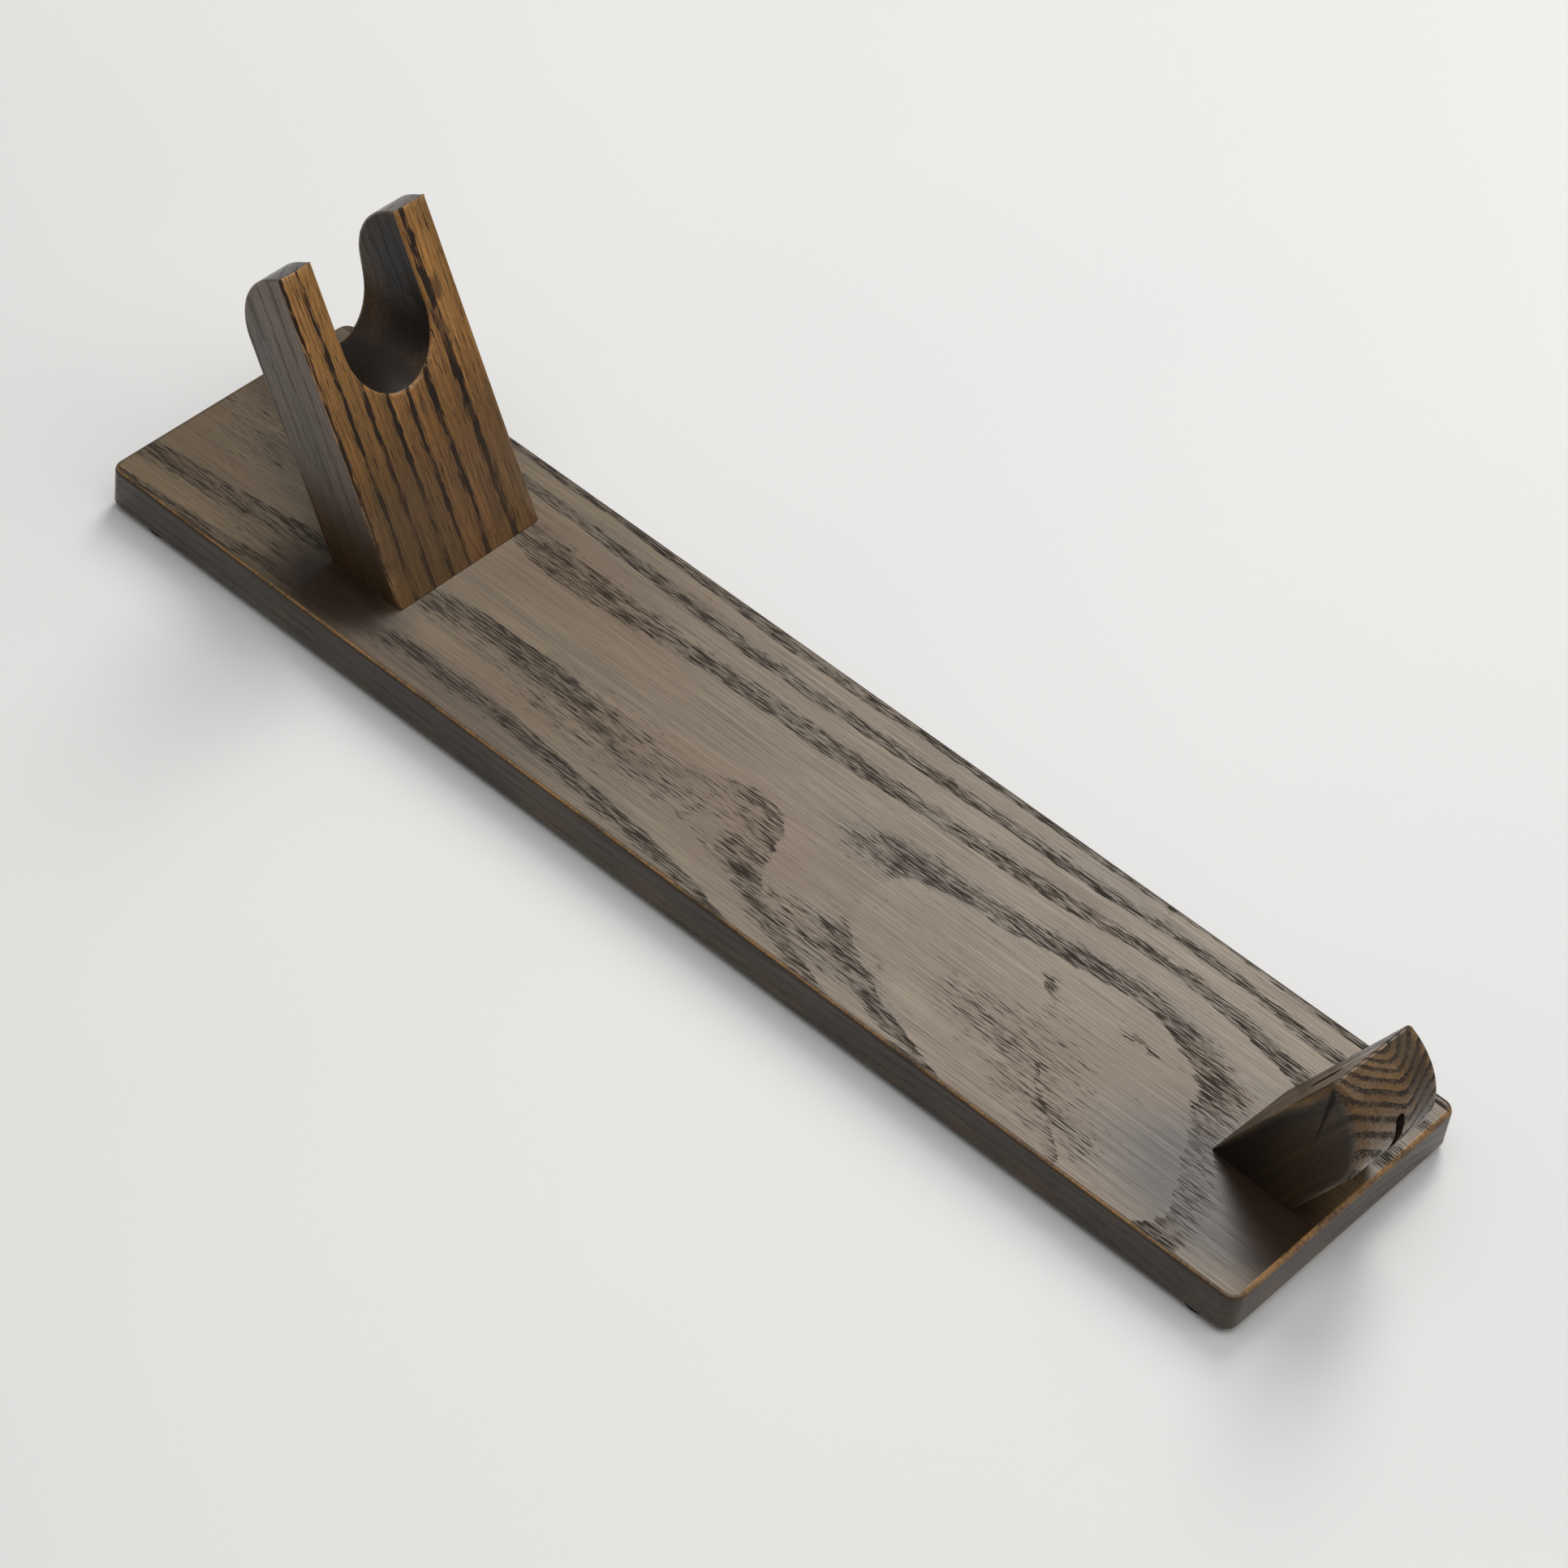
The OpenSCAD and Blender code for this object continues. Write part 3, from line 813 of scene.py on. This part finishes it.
def stained_wood(name, origin, turn, pith, ring_width, waves, early_share, light, dark, pore, worn,
                 tint, deep, worn_amount=1.0, open_pores=1.0, broken=0.0, bumps=(), lines=(), dark_patches=(),
                 clear=(), hazy=(), early_dark=0.35, pored_share=0.92, coat=0.4, coat_deep=0.4,
                 scatter=0.0, fibre_depth=0.34, fray=0.08):
    """Stained, open-grained hardwood under a satin lacquer. Grain coordinates come from Object
    coordinates moved to origin and turned so that X runs with the fibres. light and dark are the
    wood between and along the rings, pore, worn and tint what lies in the pores, on the eased edges
    and in warmer clouds; worn is wood that handling bared, and along the near edges of the board and
    cradle also a painted highlight. deep is what is left of each colour where the soak attribute is
    full: stain soaked in, and painted shade on faces that get less light. coat is the lacquer where
    that attribute is low and coat_deep where it is full."""
    material, net, place = new_material(name)
    grain = net.node("ShaderNodeMapping", {"Vector": place, "Location": origin, "Rotation": turn},
                     vector_type="TEXTURE").outputs[0]
    swell = swells(net, grain, bumps) if bumps else 0.0
    growth = net.use(GROWTH, {"Grain": grain, "Pith Across": pith[0], "Pith Down": pith[1],
                              "Ring Width": ring_width, "Waves": waves, "Swell": swell,
                              "Early Share": early_share, "Broken": broken, "Fray": fray}).outputs
    early = growth["Early"]
    if clear:
        early = net.math("MULTIPLY", early, net.math("SUBTRACT", 1.0, soft_patches(net, grain, clear)))
    if lines:
        early = net.math("MAXIMUM", early, strays(net, grain, lines))
    if hazy:
        early = net.math("MAXIMUM", early, soft_patches(net, grain, hazy))
    pores = net.use(PORES, {"Grain": grain, "Early": early, "Open": open_pores,
                            "Scatter": scatter}).outputs
    rim = net.node("ShaderNodeAttribute", attribute_name="rim").outputs["Fac"]
    edge = net.use(WEAR, {"Place": place, "Rim": rim, "Amount": worn_amount}).outputs["Worn"]
    soak_shade = net.node("ShaderNodeAttribute", attribute_name="soak_and_shade").outputs["Fac"]
    soak_and_shade = soak_shade
    # Darker patches: painted shade on the board's top, and two small darker spots on the cradle.
    if dark_patches:
        soak_and_shade = net.math("MAXIMUM", soak_and_shade, soft_patches(net, grain, dark_patches))
    cloud = net.noise(grain, (14.0, 45.0, 45.0), detail=3.0)
    soak_and_shade = net.math("MULTIPLY", soak_and_shade, net.span(cloud, 0.3, 0.6, 0.85, 1.1), clamp=True)

    late = net.span(growth["Phase"], 0.1, 0.95, 0.35, 0.0)
    tone = net.span(growth["Tone"], 0.0, 1.0, -0.1, 0.1, smooth=False)
    calm = net.span(soak_and_shade, 0.4, 0.85, 1.0, 0.2)
    ringed = net.math("ADD", net.math("ADD", late, tone),
                      net.math("MULTIPLY", early, early_dark), clamp=True)
    body = net.mix(net.math("MULTIPLY", ringed, calm), light, dark)
    fibre = net.span(pores["Fibre"], 0.3, 0.7, 1 - fibre_depth, 1 + fibre_depth)
    streak = net.span(pores["Streak"], 0.3, 0.7, 0.86, 1.14)
    shade = net.math("MULTIPLY", net.math("MULTIPLY", fibre, streak),
                     net.span(cloud, 0.3, 0.7, 0.85, 1.12))
    grey = net.node("ShaderNodeCombineXYZ", {0: shade, 1: shade, 2: shade}).outputs[0]
    body = net.mix(1.0, body, grey, "MULTIPLY")
    warm = net.span(net.noise(grain, (11.0, 30.0, 30.0), detail=2.0), 0.42, 0.7, 0.0, 0.6)
    body = net.mix(warm, body, tint)
    # Darkened towards deep by the soak attribute: stain soaked in, and painted shade on faces that get
    # less light.
    body = net.mix(soak_and_shade, body, net.mix(1.0, body, deep, "MULTIPLY"))
    # Pale eased edges: wear, and along the near edges of the board and cradle a painted highlight.
    body = net.mix(edge, body, worn)
    pored_part = net.math("MULTIPLY", net.math("MULTIPLY", pores["Pores"], pored_share), calm)
    pored = net.mix(pored_part, body, pore)

    filled = net.math("SUBTRACT", 1.0, pores["Pores"])
    rougher = net.math("MULTIPLY", net.math("MULTIPLY", pores["Pores"], 0.42), calm)
    gloss = net.math("ADD", 0.44, rougher)
    gloss = net.math("ADD", gloss, net.span(pores["Fibre"], 0.3, 0.7, 0.07, -0.07))
    film = net.span(soak_shade, 0.45, 0.65, coat, coat_deep)
    film = net.math("MULTIPLY", film, net.span(soak_shade, 0.93, 1.0, 1.0, 0.15))
    sunk = net.math("MULTIPLY", pores["Pores"], net.span(soak_shade, 0.0, 1.0, 1.0, 0.35))
    shallow = net.math("SUBTRACT", 1.0, sunk)
    lacquer = net.math("MULTIPLY", net.math("MULTIPLY", shallow, film),
                       net.span(pores["Fibre"], 0.3, 0.7, 0.75, 1.2), clamp=True)
    relief = net.math("ADD", filled, net.math("MULTIPLY", pores["Fibre"], 0.35))
    bump = net.node("ShaderNodeBump", {"Height": relief, "Distance": 0.00015, "Strength": 0.4})
    return finished(material, net, {
        "Base Color": pored, "Roughness": gloss, "Normal": bump.outputs[0], "Coat Weight": lacquer,
        "Specular IOR Level": 0.35, "Coat Roughness": 0.3, "Coat IOR": 1.5})


def rubber():
    """Matt black rubber, with a fine dusty grain and paler scuffs on the rim."""
    material, net, place = new_material("matt rubber")
    dust = net.noise(place, (1400.0, 1400.0, 1400.0), detail=3.0)
    cloud = net.noise(place, (160.0, 160.0, 160.0), detail=2.0)
    rim = net.node("ShaderNodeAttribute", attribute_name="rim").outputs["Fac"]
    scuff = net.use(WEAR, {"Place": place, "Rim": rim, "Amount": 0.5}).outputs["Worn"]
    body = net.mix(net.span(cloud, 0.3, 0.7), colour(24, 24, 25), colour(38, 37, 36))
    body = net.mix(net.span(dust, 0.55, 0.8, 0.0, 0.4), body, colour(78, 76, 73))
    body = net.mix(scuff, body, colour(70, 68, 66))
    bump = net.node("ShaderNodeBump", {"Height": dust, "Distance": 0.00005, "Strength": 0.4})
    return finished(material, net, {
        "Base Color": body, "Roughness": net.span(dust, 0.2, 0.8, 0.62, 0.85),
        "Normal": bump.outputs[0], "Specular IOR Level": 0.35})


def zinc_steel():
    """Zinc-plated steel: a pale metal with a faint yellow passivation and turning marks."""
    material, net, place = new_material("zinc plated steel")
    cloud = net.noise(place, (420.0, 420.0, 420.0), detail=3.0)
    marks = net.noise(place, (600.0, 600.0, 5200.0), detail=2.0)
    body = net.mix(net.span(cloud, 0.3, 0.7), colour(176, 172, 158), colour(205, 196, 170))
    body = net.mix(net.span(marks, 0.5, 0.75, 0.0, 0.35), body, colour(120, 116, 108))
    bump = net.node("ShaderNodeBump", {"Height": marks, "Distance": 0.00003, "Strength": 0.4})
    return finished(material, net, {
        "Base Color": body, "Roughness": net.span(cloud, 0.2, 0.8, 0.26, 0.42),
        "Metallic": 1.0, "Normal": bump.outputs[0]})


def floor_paint():
    """A plain pale table top with the faintest clouding."""
    material, net, place = new_material("pale table top")
    cloud = net.noise(place, (2.2, 2.2, 2.2), detail=3.0)
    body = net.mix(net.span(cloud, 0.3, 0.7), colour(226, 227, 228), colour(231, 232, 232))
    return finished(material, net, {"Base Color": body, "Roughness": 0.55})


# ---------------------------------------------------------------- build


SCREWS = screw_boxes()
GROWTH = growth_group()
PORES = pores_group()
WEAR = wear_group()

board_low, board_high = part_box("base_board")
board_mid = (board_low + board_high) / 2
cradle_low, cradle_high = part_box("cradle_upright")
stop_centre = stop_frame()[0]
stop_half_foot = stop_frame()[2]

# Rings that the board's growth turns aside: place along and across, reach along and across, rings
BOARD_SWELLS = (
    (-75, -20, 95, 27, 1.15),
    (12, -11, 26, 20, 0.7),
    (-60, -48, 90, 16, 0.55),
    (-80, 13, 45, 13, 0.25),
    (75, -22, 40, 25, -0.5),
    (140, -55, 75, 30, -2.6),
    (122, 15, 28, 30, -0.4),
    (192, -12, 30, 30, 1.1),
    (-25, 34, 45, 16, 0.25),
    (-195, 0, 30, 30, 0.3),
)
# Short stretches where a lower ring just breaks the surface: start along and across, the way
# it runs in degrees, its length, and how far it fades away to its right hand
BOARD_STRAYS = (
    (114, -20, -41, 44, 5),
    (110, -7, 146, 18, 5),
    (140, 0, 176, 18, 4),
)

# Painted shade on the board's top, where the blocks cast shadow on it and hide its reflection of
# the light: beside the stop, around and behind the cradle and along the near edge. Place along and
# across, reach along and across, depth
BOARD_PAINTED_SHADE = (
    (178, -22, 52, 30, 1.0),
    (-123, -35, 32, 19, 1.0),
    (-188, 24, 46, 28, 0.8),
    (-150, -8, 40, 16, 0.35),
    (-168, -6, 22, 8, 0.45),
    (-146, 12, 18, 7, 0.4),
    (-181, 10, 16, 6, 0.35),
    (-84, -42, 70, 14, 0.45),
)
# Where a ring hardly shows its pores, and where pores lie scattered past the rings
BOARD_CLEAR = (
    (43, -12, 24, 16, 1.0),
    (196, -26, 28, 24, 1.0),
    (-8, -18, 34, 14, 0.45),
    (168, -14, 26, 26, 0.3),
    (-166, 0, 44, 24, 0.6),
)
BOARD_HAZE = (
    (-38, -19, 66, 17, 0.62),
    (48, -33, 38, 13, 0.75),
    (-125, -37, 80, 10, 0.6),
    (-178, 4, 28, 36, 0.62),
)

board_finish = stained_wood(
    "stained ash, board", (board_mid.x, board_mid.y, board_high.z), (0.0, 0.0, 0.0),
    (-0.006, -0.110), 0.110 / 32, 0.22, 0.62,
    light=colour(104, 87, 62), dark=colour(76, 62, 42), pore=colour(32, 29, 27),
    worn=colour(190, 142, 84), tint=colour(92, 66, 30), deep=(0.14, 0.09, 0.05, 1.0), worn_amount=0.65,
    pored_share=0.85, bumps=BOARD_SWELLS, lines=BOARD_STRAYS, dark_patches=BOARD_PAINTED_SHADE, clear=BOARD_CLEAR,
    hazy=BOARD_HAZE)
cradle_finish = stained_wood(
    "stained ash, cradle", (cradle_high.x, 0.0, cradle_low.z), (0.0, -math.pi / 2 - CRADLE_LEAN, 0.0),
    (0.055, -0.085), 0.0042, 0.6, 0.29,
    light=colour(158, 111, 56), dark=colour(84, 56, 26), pore=colour(28, 16, 9),
    worn=colour(186, 140, 92), tint=colour(116, 88, 42), deep=(0.03, 0.03, 0.035, 1.0),
    worn_amount=0.7, open_pores=1.8, broken=0.7, early_dark=0.75, coat=0.12, coat_deep=1.0,
    scatter=0.5, fibre_depth=0.55, fray=0.26, dark_patches=((74, 20, 5, 3, 0.6), (38, 17, 6, 4, 0.6)))
stop_finish = stained_wood(
    "stained ash, stop", (stop_centre.x - stop_half_foot, stop_centre.y, stop_centre.z),
    (0.0, STOP_LEAN - math.pi / 2, STOP_TURN),
    (0.004, 0.008), 0.003, 1.7, 0.6,
    light=colour(112, 83, 44), dark=colour(64, 50, 36), pore=colour(26, 20, 15),
    worn=colour(120, 96, 68), tint=colour(70, 46, 26), deep=(0.08, 0.075, 0.08, 1.0),
    worn_amount=0.2, early_dark=0.65, pored_share=0.6, scatter=0.4, broken=0.3, fray=0.3,
    bumps=((25, 4, 80, 4.5, -0.9),))

rubber_finish = rubber()
steel_finish = zinc_steel()

pieces = [
    (make_board(), "base_board", "board_wood", board_finish),
    (make_cradle(), "cradle_upright", "cradle_wood", cradle_finish),
    (make_stop(), "stop_block", "stop_wood", stop_finish),
]
for foot_node in ("foot_cradle_left", "foot_cradle_right", "foot_stop_left", "foot_stop_right"):
    pieces.append((make_foot(foot_node), foot_node, "foot_rubber", rubber_finish))
for screw_node in SCREWS:
    pieces.append((make_screw(screw_node), screw_node, "screw_steel", steel_finish))

for piece, node, slot, finish in pieces:
    piece.data.materials.clear()
    piece.data.materials.append(finish)
    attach(piece, "root")
    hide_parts(node)


# ---------------------------------------------------------------- table, light and camera


def make_floor():
    """A wide flat sheet at height zero: a square grid of points, FLOOR_REACH to each side."""
    mesh = bpy.data.meshes.new("table_top")
    steps = np.linspace(-FLOOR_REACH, FLOOR_REACH, FLOOR_POINTS)
    x, y = np.meshgrid(steps, steps, indexing="ij")
    points = np.stack([x, y, np.zeros_like(x)], axis=-1)
    quads = grid_quads(FLOOR_POINTS, FLOOR_POINTS)[:, ::-1]
    mesh.from_pydata(points.reshape(-1, 3).tolist(), [], quads.tolist())
    mesh.materials.append(floor_paint())
    sheet = bpy.data.objects.new("table_top", mesh)
    bpy.context.scene.collection.objects.link(sheet)
    return sheet


def soft_box(name, toward, distance, wide, tall, power, tone=(1.0, 1.0, 1.0)):
    """A rectangular soft light that faces the board's middle from a given direction."""
    data = bpy.data.lights.new(name, "AREA")
    data.shape = "RECTANGLE"
    data.size = wide
    data.size_y = tall
    data.energy = power
    data.color = tone
    lamp = bpy.data.objects.new(name, data)
    back = Vector(toward).normalized()
    lamp.location = board_mid + back * distance
    lamp.rotation_mode = "QUATERNION"
    lamp.rotation_quaternion = (-back).to_track_quat("-Z", "Y")
    bpy.context.scene.collection.objects.link(lamp)
    return lamp


make_floor()
soft_box("window light", (-0.25, 0.6, 0.76), 2.2, 0.75, 1.7, 25.0, (1.0, 0.975, 0.94))
soft_box("ceiling light", (0.1, -0.2, 1.0), 2.2, 2.0, 2.0, 17.5)
soft_box("side light", (0.75, 0.25, 0.75), 2.4, 1.6, 1.6, 11.0, (1.0, 0.975, 0.94))

room = bpy.data.worlds.new("room")
room.use_nodes = True
room.node_tree.nodes["Background"].inputs["Color"].default_value = (1.0, 0.985, 0.96, 1.0)
room.node_tree.nodes["Background"].inputs["Strength"].default_value = 0.23
bpy.context.scene.world = room
bpy.context.scene.view_settings.view_transform = "Standard"

# The camera stands in front and to the right, and looks down at the board
camera_data = bpy.data.cameras.new("camera")
camera_data.lens = 118.27
camera_data.sensor_width = 36.0
camera_data.clip_end = 50.0
camera = bpy.data.objects.new("camera", camera_data)
azimuth, elevation, roll = math.radians(35.6), math.radians(45.661), math.radians(8.816)
back = Vector((math.sin(azimuth) * math.cos(elevation), -math.cos(azimuth) * math.cos(elevation),
               math.sin(elevation)))
right = Vector((0, 0, 1)).cross(back).normalized()
above = back.cross(right)
right, above = (right * math.cos(roll) + above * math.sin(roll),
                above * math.cos(roll) - right * math.sin(roll))
look_at = Vector((board_mid.x + 0.328 * MM, 12.461 * MM, board_low.z))
camera.matrix_world = Matrix.Translation(look_at + back * 1.37902) @ Matrix(
    (right, above, back)).transposed().to_4x4()
bpy.context.scene.collection.objects.link(camera)
bpy.context.scene.camera = camera
